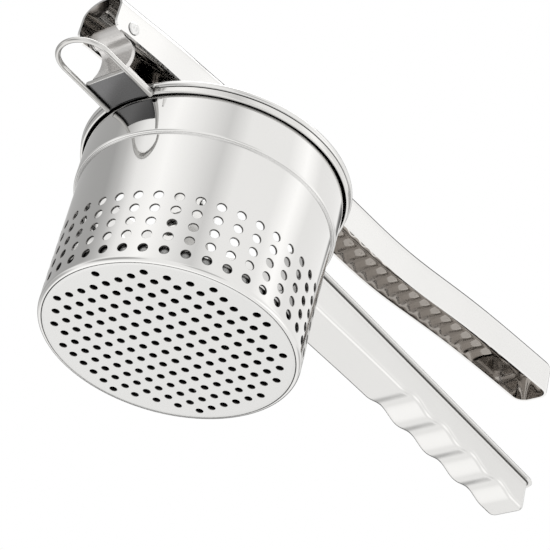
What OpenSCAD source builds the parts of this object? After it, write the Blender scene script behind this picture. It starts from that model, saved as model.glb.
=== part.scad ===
// Potato ricer: perforated basket in a hinged frame, two lever handles and a swinging plunger.
// Millimetres. Z is up and X runs towards the handle tips. The hinge pin lies along Y.
// The origin is the centre of the flat underside of the basket.

/* [Basket] */
// Outer diameter of the basket wall
basket_d = 90; // [84:1:110]
// Height of the basket, base to rim
basket_h = 74; // [66:1:92]
// Sheet thickness of the basket
basket_wall = 0.8; // [0.6:0.1:1.2]
// Height of the step where the wall widens
step_z = 53.4; // [46:0.2:60]
// How far the upper band stands out from the wall
step_out = 1.4; // [1:0.1:2.5]
// Radius of the rolled rim
rim_r = 1.3; // [0.9:0.1:1.6]
// Radius of the rounded edge round the base
base_edge_r = 1.6; // [1:0.1:2.5]

/* [Perforations] */
// Diameter of the holes in the wall
side_hole_d = 3.3; // [2:0.1:4]
// Columns of holes round the wall
side_columns = 40; // [24:4:44]
// Rows of holes up the wall
side_rows = 5; // [1:1:6]
// Height of the lowest row
side_row_z = 5; // [4:0.5:9]
// Pitch of the rows
side_row_pitch = 5.46; // [4.5:0.1:7]
// Diameter of the holes in the base
base_hole_d = 2.6; // [1.5:0.1:3.5]
// Pitch of the square grid in the base
base_pitch = 5.41; // [4.5:0.1:8]
// Plain border between the grid and the edge
base_border = 5.6; // [4:0.2:10]
// Shift of the grid along X
base_shift_x = -1.8; // [-2.5:0.1:2.5]
// Shift of the grid along Y
base_shift_y = -1.4; // [-2.5:0.1:2.5]

/* [Frame] */
// Width of the ring's section
ring_w = 1.4; // [1.2:0.1:2.5]
// Height of the ring's section
ring_h = 2.4; // [2:0.1:4]
// Thickness of the tongue and of the hinge bracket
tongue_t = 2; // [1.5:0.1:3]
// Width of the tongue
tongue_w = 19.4; // [16:0.2:24]
// Diameter of the hook wire
wire_d = 1.9; // [1.5:0.1:2.6]
// How far the hook reaches beyond the hinge pin
hook_reach = 17.5; // [12:0.5:26]

/* [Hinge] */
// Distance from the basket's wall to the hinge pin
hinge_out = 17; // [15:0.5:24]
// Height of the hinge pin above the basket's rim
hinge_up = 12; // [11:0.5:18]
// Diameter of the hinge pin
hinge_pin_d = 4; // [3:0.5:5]
// Thickness of the bracket's strip and of its barrel round the pin
bracket_t = 1.6; // [1.2:0.1:2.2]
// Bow of the bracket's strip
bracket_bow = 1.8; // [0:0.1:3]
// Head diameter of the hinge pin
hinge_head_d = 4.8; // [4.6:0.1:7]

/* [Handles] */
// Reach of the lower handle beyond the basket's wall
lower_reach = 154; // [120:1:180]
// Reach of the upper handle beyond the basket's wall
upper_reach = 158; // [124:1:184]
// Sheet thickness of the handles
handle_t = 1; // [0.8:0.1:1.6]
// Width of the upper handle at the hinge
upper_w_hinge = 18; // [17:0.2:22]
// Width of the upper handle at the grip
upper_w_grip = 16; // [15.6:0.2:20]
// Depth of the upper handle
upper_depth = 15.5; // [13:0.5:19]
// Rise of the upper handle over its run
upper_slope = 0.112; // [0.08:0.002:0.14]
// Depth of the thumb hollow in the upper handle
upper_hollow = 3.2; // [0:0.1:4]
// Number of grip ribs inside the upper handle
grip_ribs = 15; // [5:1:18]
// Width of the lower handle's channel at the basket
lower_w = 17.8; // [15:0.2:21]
// Width of the lower handle's channel at its tip
lower_w_tip = 15.8; // [13:0.2:20]
// Width of the flange on each side of the lower handle
flange_w = 2.1; // [1.5:0.1:4]
// Depth of the lower handle at the grip
lower_depth = 12.6; // [9:0.1:15]
// Depth of the lower handle at the basket
lower_depth_root = 14.6; // [12:0.1:17]
// Number of finger hollows
finger_waves = 4; // [3:1:5]
// Pitch of the finger hollows
finger_pitch = 19.9; // [16:0.1:21]
// Depth of the finger hollows
finger_wave_h = 1.9; // [0:0.1:4]

/* [Plunger] */
// Gap between the plunger plate and the basket wall
plunger_gap = 4.6; // [4.6:0.1:6]
// Sheet thickness of the plunger plate
plunger_t = 1; // [0.8:0.1:1.5]
// Height of the turned-up edge of the plunger plate
plunger_edge_h = 3; // [2:0.2:5]
// Place of the plunger pivot along X
pivot_x = -8; // [-10:0.5:-6]
// Height of the plunger pivot above the base
pivot_z = 49; // [47:0.5:51]
// Diameter of the plunger pivot pin
pivot_pin_d = 4; // [3:0.5:5]
// Thickness of the hanger and of the stem
link_t = 1.5; // [1.2:0.1:2]

/* [Discs] */
// Sheet thickness of a disc
disc_t = 0.8; // [0.6:0.1:1]
// Height of a disc's raised edge
disc_edge_h = 1.6; // [1.4:0.1:1.8]
// Width of a disc's raised edge
disc_edge_w = 1.2; // [1:0.1:2]
// Hole diameter of the fine disc
fine_hole_d = 2.6; // [1.5:0.1:3.2]
// Ring pitch of the fine disc
fine_pitch = 5; // [4.5:0.1:6]
// Hole diameter of the coarse disc
coarse_hole_d = 5.6; // [4:0.1:7]
// Ring pitch of the coarse disc
coarse_pitch = 11; // [9:0.5:12]
// Slot width of the slotted disc
slot_w = 2.8; // [2:0.1:4]
// Slot length of the slotted disc
slot_l = 8; // [6:0.5:10]

/* [Hidden] */
// Clearances, each named for the fit that it makes
run_fit = 0.05;      // radial, a pin in a turning bore
seat_fit = 0.2;      // radial, basket in its ring and discs in the basket
side_gap = 0.3;      // sheets that turn past each other
rivet_d = 3;
rivet_head_d = 5;
rivet_head_h = 0.9;

wall_r = basket_d / 2;
bore_r = wall_r - basket_wall;
band_r = wall_r + step_out;
rim_z = basket_h - rim_r;
rim_mid_r = band_r + 0.7 * rim_r;
rim_out_r = rim_mid_r + rim_r;

ring_in_r = band_r + seat_fit;
ring_out_r = ring_in_r + ring_w;
ring_top = rim_z - rim_r;
ring_z = ring_top - ring_h;

floor_t = basket_wall;
ledge_z = 2 * floor_t;
ledge_w = 1.6;
plate_r = wall_r - base_edge_r;

hinge_x = -(wall_r + hinge_out);
hinge_z = basket_h + hinge_up;
barrel_r = hinge_pin_d / 2 + bracket_t;
tongue_end = hinge_x + 2.5;
barrel_w = upper_w_hinge - 2 * handle_t - 2;
washer_t = 0.7;

wire_y = tongue_w / 2;
wire_seat = 0.5;
wire_z = ring_z - wire_d / 2 + wire_seat;
hook_end = hinge_x - hook_reach;
wire_root = -sqrt(pow(ring_out_r - 0.2, 2) - pow(wire_y, 2));

upper_start = hinge_x - 8;
upper_end = wall_r + upper_reach;
hollow_x = wall_r + 53;
hollow_len = 38;
spine_over_pin = 11.8;
nose_r = 5.5;
ear_r = 3;           // round lower corner at the hinge end
taper_start = hinge_x + 12;
taper_end = -20;

lower_start = ring_out_r + 1.6;
lower_end = wall_r + lower_reach;
flange_top = ring_z - 2.2;
heel = 9.5;
grip_start = lower_end - heel - finger_waves * finger_pitch;
grip_stop = lower_end - heel;
saddle_top = ring_z;
saddle_drop = 14;
ear_len = 26;
flush = 0.05;        // how far a spot weld lies below the sheet's face

disc_r = bore_r - 2 * seat_fit;
disc_z = ledge_z;
plunger_side_gap = 1.4;
plunger_r = bore_r - plunger_gap;
plunger_x = plunger_side_gap - plunger_gap;
plunger_z = disc_z + 3 * disc_edge_h + 0.6;
foot_z = plunger_z + plunger_t;
hanger_w = upper_w_grip - 2 * handle_t;
eye_r = pivot_pin_d / 2 + 3.2;
stem_w = hanger_w + 2 * side_gap + 2 * link_t;

side_fn = 32;
round_fn = 160;

// ---- shapes used more than once ----

// Height of the upper handle's spine above the base, at place x
function spine_z(x) = hinge_z + spine_over_pin + upper_slope * (x - hinge_x)
  - upper_hollow * exp(-pow((x - hollow_x) / hollow_len, 2));

// Height of the lower handle's underside, at place x
function under_z(x) =
  let (blend = min(1, max(0, (x - lower_start) / (grip_start - lower_start))),
       ease = blend * blend * (3 - 2 * blend),
       depth = lower_depth_root + (lower_depth - lower_depth_root) * ease,
       in_grip = x > grip_start && x < grip_stop,
       wave = in_grip ? (1 - cos(360 * (x - grip_start) / finger_pitch)) / 2 : 0)
  flange_top - depth - finger_wave_h / 2 * ease + finger_wave_h * wave;

function steps(a, b, n) = [for (i = [0:n]) a + (b - a) * i / n];

// A plate standing in the XZ plane, centred on Y, cut to an outline of [x, z] points
module upright(thick, y = 0) {
  translate([0, y + thick / 2, 0]) rotate([90, 0, 0]) linear_extrude(thick) children();
}

// A cylinder along Y through [x, z]
module cross(x, z, d, y0, y1, fn = 48) {
  translate([x, y1, z]) rotate([90, 0, 0]) cylinder(d = d, h = y1 - y0, $fn = fn);
}

// A rivet along Y with a head at each end, clamping what lies between y0 and y1
module cross_rivet(x, z, d, head_d, y0, y1) {
  cross(x, z, d, y0, y1);
  cross(x, z, head_d, y1, y1 + rivet_head_h);
  cross(x, z, head_d, y0 - rivet_head_h, y0);
}

// Holes in rings about the centre: the nth ring has per_ring times n holes
module ring_holes(pitch, limit, per_ring, d, h) {
  for (ring = [0:floor(limit / pitch)], k = [0:max(0, ring * per_ring - 1)])
    rotate([0, 0, ring == 0 ? 0 : 360 * k / (ring * per_ring)])
      translate([ring * pitch, 0, -h]) cylinder(d = d, h = 3 * h, $fn = side_fn);
}

// A disc with a raised edge, its underside at height z
module disc_blank(z) {
  inner = disc_r - disc_edge_w;
  translate([0, 0, z]) rotate_extrude($fn = round_fn) polygon([
    [0, 0], [disc_r, 0], [disc_r, disc_edge_h], [inner, disc_edge_h], [inner, disc_t], [0, disc_t]
  ]);
}

// ---- basket ----

module basket_wall() {
  foot_r = plate_r;
  color("silver") difference() {
    rotate_extrude($fn = round_fn) {
      // the wall, its turned-in foot, the step and the upper band
      difference() {
        union() {
          translate([bore_r, base_edge_r]) square([basket_wall, step_z - base_edge_r]);
          translate([foot_r, 0]) square([wall_r - foot_r, base_edge_r]);
          translate([bore_r, step_z]) square([band_r - bore_r, basket_wall]);
          translate([band_r - basket_wall, step_z]) square([basket_wall, rim_z - step_z]);
          translate([rim_mid_r, rim_z]) circle(r = rim_r, $fn = 48);
        }
        // the rounded outer edge of the base
        difference() {
          translate([wall_r - base_edge_r, -1]) square([base_edge_r + 1, base_edge_r + 1]);
          translate([wall_r - base_edge_r, base_edge_r]) circle(r = base_edge_r, $fn = 48);
        }
        // the seat for the base plate
        translate([foot_r - 1, floor_t]) square([bore_r - foot_r + 1, base_edge_r]);
      }
    }
    for (row = [0:side_rows - 1], col = [0:side_columns - 1])
      rotate([0, 0, 360 * col / side_columns])
        translate([bore_r - 3, 0, side_row_z + row * side_row_pitch]) rotate([0, 90, 0])
          cylinder(d = side_hole_d, h = 6, $fn = side_fn);
  }
}

module basket_base() {
  inner = plate_r - ledge_w;
  reach = plate_r - base_border + 2;
  count = ceil(reach / base_pitch);
  color("gainsboro") difference() {
    rotate_extrude($fn = round_fn) polygon([
      [0, 0], [plate_r, 0], [plate_r, floor_t], [bore_r, floor_t], [bore_r, ledge_z],
      [inner, ledge_z], [inner, floor_t], [0, floor_t]
    ]);
    for (i = [-count:count], j = [-count:count])
      let (x = i * base_pitch + base_shift_x, y = j * base_pitch + base_shift_y)
        if (sqrt(x * x + y * y) < reach)
          translate([x, y, -1]) cylinder(d = base_hole_d, h = floor_t + 2, $fn = side_fn);
  }
}

// ---- frame ----

module frame_ring() {
  color("silver") difference() {
    union() {
      translate([0, 0, ring_z]) cylinder(r = ring_out_r, h = ring_h, $fn = round_fn);
      translate([tongue_end, -tongue_w / 2, ring_z])
        cube([-tongue_end - ring_in_r + 6, tongue_w, tongue_t]);
    }
    translate([0, 0, ring_z - 1]) cylinder(r = ring_in_r, h = ring_h + 2, $fn = round_fn);
    hook_wire(wire_d);
  }
}

// The hinge bracket: a foot on the tongue, a bowed strip and a barrel round the pin
module hinge_bracket() {
  foot_z = ring_z + tongue_t;
  foot_len = 8;
  low_x = tongue_end + bracket_t / 2;
  high_x = hinge_x + barrel_r - bracket_t / 2;
  mid = function(f) [low_x + (high_x - low_x) * f + bracket_bow * sin(180 * f),
    foot_z + (hinge_z - foot_z) * f];
  color("lightgray") difference() {
    union() {
      upright(barrel_w) polygon(concat(
        [for (f = steps(0, 1, 16)) mid(f) + [bracket_t / 2, 0]],
        [for (f = steps(1, 0, 16)) mid(f) - [bracket_t / 2, 0]]));
      translate([tongue_end, -barrel_w / 2, foot_z])
        cube([foot_len, barrel_w, bracket_t]);
      cross(hinge_x, hinge_z, 2 * barrel_r, -barrel_w / 2, barrel_w / 2, 64);
    }
    cross(hinge_x, hinge_z, hinge_pin_d + 2 * run_fit, -barrel_w, barrel_w, 48);
  }
}

// The wire of the pot hook, with a diameter so that its seat can be cut as well
module hook_wire(d) {
  bend_x = hook_end + wire_y;
  for (side = [-1, 1])
    translate([bend_x, side * wire_y, wire_z]) rotate([0, 90, 0])
      cylinder(d = d, h = wire_root - bend_x, $fn = 32);
  translate([bend_x, 0, wire_z]) rotate([0, 0, 90]) rotate_extrude(angle = 180, $fn = 96)
    translate([wire_y, 0]) circle(d = d, $fn = 32);
}

module pot_hook() {
  color("whitesmoke") hook_wire(wire_d);
}

module hinge_pin() {
  color("white")
    cross_rivet(hinge_x, hinge_z, hinge_pin_d, hinge_head_d, -upper_w_hinge / 2, upper_w_hinge / 2);
}

module hinge_washers() {
  inner = upper_w_hinge / 2 - handle_t;
  color("gainsboro") for (side = [-1, 1]) difference() {
    cross(hinge_x, hinge_z, 2 * barrel_r - 0.6, side * (inner - washer_t / 2) - washer_t / 2,
      side * (inner - washer_t / 2) + washer_t / 2);
    cross(hinge_x, hinge_z, hinge_pin_d, -upper_w_hinge, upper_w_hinge);
  }
}

// ---- upper handle ----

// Side view of the upper handle, drawn inwards by inset
module upper_side(inset) {
  // the open side of the channel is below, so the inner outline runs past it
  low = inset > 0 ? upper_depth + 1 : upper_depth;
  x0 = inset > 0 ? upper_start - 1 : upper_start;
  x1 = upper_end - inset;
  top = [for (x = steps(x0, x1, 40)) [x, spine_z(x) - inset]];
  bottom = [for (x = steps(x1, x0 + ear_r, 40)) [x, spine_z(x) - low]];
  ear = [for (a = steps(0, 90, 8)) [x0 + ear_r * (1 - sin(a)), spine_z(x0 + ear_r) - low + ear_r * (1 - cos(a))]];
  polygon(concat(top, bottom, ear));
}

// Plan of the upper handle, drawn inwards by inset, with a round nose
module upper_plan(inset) {
  x0 = inset > 0 ? upper_start - 1 : upper_start;
  x1 = upper_end - inset;
  half_h = upper_w_hinge / 2 - inset;
  half_g = upper_w_grip / 2 - inset;
  r = nose_r - inset;
  arc_pts = [for (a = steps(-90, 90, 12)) [x1 - r + r * cos(a), (a < 0 ? -1 : 1) * (half_g - r) + r * sin(a)]];
  polygon(concat([[x0, -half_h], [taper_start, -half_h], [taper_end, -half_g]], arc_pts,
    [[taper_end, half_g], [taper_start, half_h], [x0, half_h]]));
}

module upper_body(inset) {
  tall = 2 * (hinge_z + upper_end);
  intersection() {
    upright(upper_w_hinge + 2) upper_side(inset);
    linear_extrude(tall) upper_plan(inset);
  }
}

module upper_handle() {
  rib_x0 = wall_r + 34;
  rib_x1 = upper_end - 22;
  half_in = upper_w_grip / 2 - handle_t;
  color("whitesmoke") difference() {
    union() {
      difference() {
        upper_body(0);
        upper_body(handle_t);
      }
      for (x = steps(rib_x0, rib_x1, grip_ribs - 1))
        cross(x, spine_z(x) - handle_t, 1.6, -half_in, half_in, 24);
    }
    cross(hinge_x, hinge_z, hinge_pin_d, -upper_w_hinge, upper_w_hinge);
    hanger_rivet_bores();
  }
}

// ---- plunger ----

// Places of the rivets that hold the hanger in the upper handle
hanger_xs = [pivot_x - 9, pivot_x + 9];
function hanger_rivet_z(x) = spine_z(x) - upper_depth / 2 - 0.5;

module hanger_rivet_bores() {
  for (x = hanger_xs) cross(x, hanger_rivet_z(x), rivet_d, -upper_w_hinge, upper_w_hinge);
}

// The hanger: two legs and a web under the handle's spine
module plunger_hanger() {
  x0 = pivot_x - 14;
  x1 = pivot_x + 14;
  y = hanger_w / 2 - link_t / 2;
  color("gray") difference() {
    union() {
      for (side = [-1, 1]) upright(link_t, side * y) hanger_plate();
      upright(hanger_w) polygon([[x0, spine_z(x0) - handle_t], [x1, spine_z(x1) - handle_t],
        [x1, spine_z(x1) - handle_t - link_t], [x0, spine_z(x0) - handle_t - link_t]]);
    }
    cross(pivot_x, pivot_z, pivot_pin_d, -hanger_w, hanger_w);
    hanger_rivet_bores();
  }
}

// One leg of the hanger: an upper plate, a straight-sided taper and a round eye
module hanger_plate() {
  x0 = pivot_x - 14;
  x1 = pivot_x + 14;
  polygon([[x0, spine_z(x0) - handle_t - 0.2], [x1, spine_z(x1) - handle_t - 0.2],
    [x1, spine_z(x1) - upper_depth], [pivot_x + eye_r, pivot_z + 12], [pivot_x + eye_r, pivot_z],
    [pivot_x - eye_r, pivot_z], [pivot_x - eye_r, pivot_z + 12], [x0, spine_z(x0) - upper_depth]]);
  translate([pivot_x, pivot_z]) circle(r = eye_r, $fn = 48);
}

module hanger_rivets() {
  color("white") for (x = hanger_xs) {
    half = upper_w_at(x) / 2;
    cross_rivet(x, hanger_rivet_z(x), rivet_d, rivet_head_d, -half, half);
  }
}

// Outer width of the upper handle at place x
function upper_w_at(x) =
  let (f = min(1, max(0, (x - taper_start) / (taper_end - taper_start))))
  upper_w_hinge + (upper_w_grip - upper_w_hinge) * f;

module plunger_pin() {
  half = stem_w / 2 + side_gap / 2;
  color("white") cross_rivet(pivot_x, pivot_z, pivot_pin_d, pivot_pin_d + 2.4, -half, half);
}

// The stem: two cheeks outside the hanger, and a foot on the plunger plate
module plunger_stem() {
  foot_half = 15;
  foot_t = link_t;
  y = stem_w / 2 - link_t / 2;
  color("gray") difference() {
    union() {
      for (side = [-1, 1]) upright(link_t, side * y) {
        polygon([[plunger_x - foot_half, foot_z], [plunger_x + foot_half, foot_z],
          [plunger_x + foot_half, foot_z + 6], [pivot_x + eye_r, pivot_z - 12], [pivot_x + eye_r, pivot_z],
          [pivot_x - eye_r, pivot_z], [pivot_x - eye_r, pivot_z - 12], [plunger_x - foot_half, foot_z + 6]]);
        translate([pivot_x, pivot_z]) circle(r = eye_r, $fn = 48);
      }
      translate([plunger_x - foot_half, -stem_w / 2, foot_z]) cube([2 * foot_half, stem_w, foot_t]);
    }
    cross(pivot_x, pivot_z, pivot_pin_d + 2 * run_fit, -stem_w, stem_w);
    stem_rivet_places() translate([0, 0, -5]) cylinder(d = rivet_d, h = 20, $fn = 32);
  }
}

module stem_rivet_places() {
  for (dx = [-10, 10]) translate([plunger_x + dx, 0, foot_z]) children();
}

module plunger_plate() {
  r = plunger_r;
  t = plunger_t;
  h = plunger_edge_h;
  bend = 1.6;
  color("silver") difference() {
    translate([plunger_x, 0, plunger_z]) rotate_extrude($fn = round_fn) difference() {
      union() {
        square([r - bend, h]);
        translate([r - bend, bend]) circle(r = bend, $fn = 48);
        translate([r - bend - 1, bend]) square([bend + 1, h - bend]);
      }
      translate([-1, t]) square([r - t + 1, h]);
    }
    stem_rivet_places() translate([0, 0, -5]) cylinder(d = rivet_d, h = 20, $fn = 32);
  }
}

module stem_rivets() {
  color("white") stem_rivet_places() {
    translate([0, 0, -plunger_t]) cylinder(d = rivet_d, h = plunger_t + link_t, $fn = 32);
    translate([0, 0, link_t]) cylinder(d = rivet_head_d, h = rivet_head_h, $fn = 32);
  }
}

// ---- lower handle ----

// The saddle: a curved plate under the ring, with two ears inside the lower handle
module handle_saddle() {
  ear_y = lower_w / 2 - handle_t - tongue_t / 2;
  ear_top = flange_top - 1.2;
  ear_low = flange_top - lower_depth + 1.2;
  color("silver") difference() {
    union() {
      intersection() {
        translate([0, 0, saddle_top - saddle_drop])
          cylinder(r = ring_out_r, h = saddle_drop, $fn = round_fn);
        translate([0, -lower_w / 2 - flange_w, saddle_top - saddle_drop])
          cube([ring_out_r + 1, lower_w + 2 * flange_w, saddle_drop]);
      }
      for (side = [-1, 1])
        translate([ring_in_r - 1, side * ear_y - tongue_t / 2, ear_low])
          cube([lower_start + ear_len - ring_in_r, tongue_t, ear_top - ear_low]);
    }
    translate([0, 0, saddle_top - saddle_drop - 1])
      cylinder(r = ring_in_r, h = saddle_drop + 2, $fn = round_fn);
    saddle_rivet_bores();
  }
}

saddle_rivet_xs = [lower_start + 7, lower_start + 19];
saddle_rivet_z = flange_top - lower_depth / 2;

module saddle_rivet_bores() {
  for (x = saddle_rivet_xs) cross(x, saddle_rivet_z, rivet_d, -lower_w, lower_w);
}

// The saddle's rivets are ground flush with the handle's sides
module saddle_rivets() {
  half = lower_w / 2;
  inner = half - handle_t - tongue_t;
  color("white") for (x = saddle_rivet_xs, side = [-1, 1])
    cross(x, saddle_rivet_z, rivet_d, min(side * inner, side * (half - flush)),
      max(side * inner, side * (half - flush)));
}

// Side view of the lower handle's channel, drawn inwards by inset
module lower_side(inset) {
  x0 = inset > 0 ? lower_start - 1 : lower_start;
  x1 = lower_end - inset;
  top = inset > 0 ? flange_top + 1 : flange_top;
  under = [for (x = steps(x0, x1, 78)) [x, under_z(x) + inset]];
  polygon(concat(under, [[x1, top], [x0, top]]));
}

// Plan of the lower handle's channel, drawn outwards by grow
module lower_plan(grow, x1) {
  taper_x = lower_start + ear_len;
  near = lower_w / 2 + grow;
  tip = lower_w_tip / 2 + grow;
  x0 = grow < 0 ? lower_start - 1 : lower_start;
  polygon([[x0, -near], [taper_x, -near], [x1, -tip], [x1, tip], [taper_x, near], [x0, near]]);
}

module lower_body(inset) {
  intersection() {
    upright(lower_w + 2) lower_side(inset);
    linear_extrude(2 * flange_top) lower_plan(-inset, lower_end - inset);
  }
}

module lower_handle() {
  flange_end = lower_end + flange_w * 0.6;
  corner = 3;
  half = lower_w_tip / 2 + flange_w;
  color("whitesmoke") difference() {
    union() {
      lower_body(0);
      translate([0, 0, flange_top - handle_t]) linear_extrude(handle_t) difference() {
        lower_plan(flange_w, flange_end);
        for (side = [-1, 1]) difference() {
          translate([flange_end - corner, side * (half - corner / 2 + 0.5) - corner / 2 - 0.5])
            square([corner + 1, corner + 1]);
          translate([flange_end - corner, side * (half - corner)])
            circle(r = corner, $fn = 32);
        }
      }
    }
    lower_body(handle_t);
    saddle_rivet_bores();
  }
}

// ---- interchangeable discs, stacked in the basket ----

module fine_disc() {
  color("silver") difference() {
    disc_blank(disc_z);
    translate([0, 0, disc_z]) ring_holes(fine_pitch, disc_r - disc_edge_w - 3, 6, fine_hole_d, 1.5);
  }
}

module coarse_disc() {
  color("silver") difference() {
    disc_blank(disc_z + disc_edge_h);
    translate([0, 0, disc_z + disc_edge_h])
      ring_holes(coarse_pitch, disc_r - disc_edge_w - 5, 6, coarse_hole_d, 1.5);
  }
}

// A slot with round ends, pointing outwards, at radius r
module slot(r) {
  for (end = [-1, 1]) translate([r + end * (slot_l - slot_w) / 2, 0, -1]) cylinder(d = slot_w, h = 4, $fn = 32);
  translate([r - (slot_l - slot_w) / 2, -slot_w / 2, -1]) cube([slot_l - slot_w, slot_w, 4]);
}

module slotted_disc() {
  z = disc_z + 2 * disc_edge_h;
  outer = disc_r - disc_edge_w - slot_l / 2 - 2.2;
  inner = outer - slot_l - 5.5;
  color("silver") difference() {
    disc_blank(z);
    translate([0, 0, z]) {
      for (k = [0:15]) rotate([0, 0, 22.5 * k]) slot(outer);
      for (k = [0:7]) rotate([0, 0, 45 * k + 22.5]) slot(inner);
      for (k = [0:7]) rotate([0, 0, 45 * k]) translate([inner, 0, -1])
        cylinder(d = slot_w, h = 4, $fn = 32);
      for (k = [0:5]) rotate([0, 0, 60 * k]) translate([9, 0, -1]) cylinder(d = slot_w, h = 4, $fn = 32);
      translate([0, 0, -1]) cylinder(d = slot_w, h = 4, $fn = 32);
    }
  }
}

basket_wall();
basket_base();
frame_ring();
hinge_bracket();
pot_hook();
hinge_pin();
hinge_washers();
upper_handle();
plunger_hanger();
hanger_rivets();
plunger_pin();
plunger_stem();
plunger_plate();
stem_rivets();
handle_saddle();
lower_handle();
saddle_rivets();
fine_disc();
coarse_disc();
slotted_disc();
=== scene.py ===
import math

import bmesh
import bpy
from mathutils import Matrix, Vector, geometry


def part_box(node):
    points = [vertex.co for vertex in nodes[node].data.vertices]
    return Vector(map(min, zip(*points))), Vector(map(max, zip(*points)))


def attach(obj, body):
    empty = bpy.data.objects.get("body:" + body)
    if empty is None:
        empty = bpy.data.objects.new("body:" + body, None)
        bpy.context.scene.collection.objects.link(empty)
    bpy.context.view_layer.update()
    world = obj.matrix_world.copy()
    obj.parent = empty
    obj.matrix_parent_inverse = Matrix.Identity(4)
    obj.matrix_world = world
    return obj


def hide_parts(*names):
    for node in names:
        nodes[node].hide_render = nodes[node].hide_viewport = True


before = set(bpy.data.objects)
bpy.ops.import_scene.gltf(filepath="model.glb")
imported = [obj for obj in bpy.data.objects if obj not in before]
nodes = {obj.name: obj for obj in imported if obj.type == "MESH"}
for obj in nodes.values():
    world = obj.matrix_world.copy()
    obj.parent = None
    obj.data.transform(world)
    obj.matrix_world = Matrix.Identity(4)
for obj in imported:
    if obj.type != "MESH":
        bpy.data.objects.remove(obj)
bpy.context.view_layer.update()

MM = 0.001
TAU = 2 * math.pi

# ---------------------------------------------------------------- sizes, in metres, from the frame

wall_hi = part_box("basket_wall")[1]
base_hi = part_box("basket_base")[1]
ring_lo, ring_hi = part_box("frame_ring")
bracket_lo, bracket_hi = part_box("hinge_bracket")
pin_lo, pin_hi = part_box("hinge_pin")
upper_lo, upper_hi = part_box("upper_handle")
lower_lo, lower_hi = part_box("lower_handle")
hanger_lo, hanger_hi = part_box("plunger_hanger")
pivot_lo, pivot_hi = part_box("plunger_pin")

SHEET = 0.8 * MM                        # basket sheet
WALL_R = base_hi.x + SHEET              # outside of the lower wall
BORE_R = WALL_R - SHEET                 # inside of the lower wall
RIM_TOP = wall_hi.z
RIM_R = 1.3 * MM                        # radius of the rolled rim
RIM_MID = wall_hi.x - RIM_R
BAND_R = RIM_MID - 0.7 * RIM_R          # outside of the upper band
STEP_Z = 53.4 * MM                      # where the wall widens into the band
EDGE_R = 1.6 * MM                       # rounded edge round the base
PLATE_R = WALL_R - EDGE_R                # the flat base inside that edge
SIDE_HOLE = 1.65 * MM                   # radius of a hole in the wall
SIDE_COLUMNS = 40
SIDE_ROWS = 5
ROW_Z = 5 * MM                          # height of the lowest row
ROW_PITCH = 5.46 * MM
BASE_HOLE = 1.3 * MM                    # radius of a hole in the base
BASE_PITCH = 5.41 * MM
BASE_SHIFT = Vector((-1.8 * MM, -1.4 * MM))   # from the base's centre to the nearest hole
BASE_REACH = PLATE_R - 3.6 * MM         # no hole's centre lies further out
BASE_SEGMENTS = 160
PIN = Vector(((pin_lo.x + pin_hi.x) / 2, 0, (pin_lo.z + pin_hi.z) / 2))   # centre of the hinge
HANDLE_T = 1 * MM                       # sheet of both handles
JOIN = 1e-7                             # points nearer than this are one point


# ---------------------------------------------------------------- mesh helpers

def add_piece(name, mesh, body, material, replaced=()):
    """Links a mesh as a piece that rides on a body and stands for CAD nodes."""
    obj = bpy.data.objects.new(name, mesh)
    bpy.context.scene.collection.objects.link(obj)
    mesh.materials.append(material)
    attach(obj, body)
    if replaced:
        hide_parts(*replaced)
    return obj


def mesh_of(name, verts, faces, sharp=35):
    """A mesh from points and faces, joined where points meet, smooth but for sharp edges."""
    mesh = bpy.data.meshes.new(name)
    mesh.from_pydata([tuple(v) for v in verts], [], faces)
    bm = bmesh.new()
    bm.from_mesh(mesh)
    bmesh.ops.remove_doubles(bm, verts=bm.verts, dist=JOIN)
    bmesh.ops.recalc_face_normals(bm, faces=bm.faces)
    bm.to_mesh(mesh)
    bm.free()
    mesh.shade_smooth()
    mesh.set_sharp_from_angle(angle=math.radians(sharp))
    return mesh


def weighted(obj):
    """Keeps flat stretches flat beside their fillets."""
    mod = obj.modifiers.new("weighted_normal", "WEIGHTED_NORMAL")
    mod.weight = 100
    mod.keep_sharp = True


def arc(cx, cy, r, a0, a1, n):
    """Points on an arc, angles in degrees, both ends included."""
    out = []
    for i in range(n + 1):
        a = math.radians(a0 + (a1 - a0) * i / n)
        out.append((cx + r * math.cos(a), cy + r * math.sin(a)))
    return out


def lathe(profile, segments, closed):
    """Points and faces of a profile of (radius, height) turned about Z."""
    verts, faces = [], []
    n = len(profile)
    for s in range(segments):
        a = TAU * s / segments
        verts += [(r * math.cos(a), r * math.sin(a), z) for r, z in profile]
    spans = n if closed else n - 1
    for s in range(segments):
        t = (s + 1) % segments
        for k in range(spans):
            m = (k + 1) % n
            faces.append((s * n + k, t * n + k, t * n + m, s * n + m))
    return verts, faces


def sheet_with_holes(boundary, holes, extra, hole_r, bevel, segments):
    """Triangles of a flat sheet between its boundary and round holes, as points and triangles.
    extra are more points within it. Those too near a hole are left out."""
    points = [Vector(p) for p in boundary]
    edges = [(i, (i + 1) % len(boundary)) for i in range(len(boundary))]
    for hole in holes:
        first = len(points)
        for k in range(segments):
            a = TAU * k / segments
            ring = Vector((math.cos(a), math.sin(a))) * (hole_r + bevel)
            points.append(Vector(hole) + ring)
        edges += [(first + k, first + (k + 1) % segments) for k in range(segments)]
    clear = (hole_r + bevel) * 1.15
    for p in extra:
        if all((Vector(p) - Vector(h)).length > clear for h in holes):
            points.append(Vector(p))
    got = geometry.delaunay_2d_cdt(points, edges, [], 0, 1e-7)
    out_points, out_faces = got[0], got[2]
    kept = []
    for f in out_faces:
        mid = (out_points[f[0]] + out_points[f[1]] + out_points[f[2]]) / 3
        if all((mid - Vector(h)).length > (hole_r + bevel) * 0.98 for h in holes):
            kept.append(tuple(f))
    return out_points, kept


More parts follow.
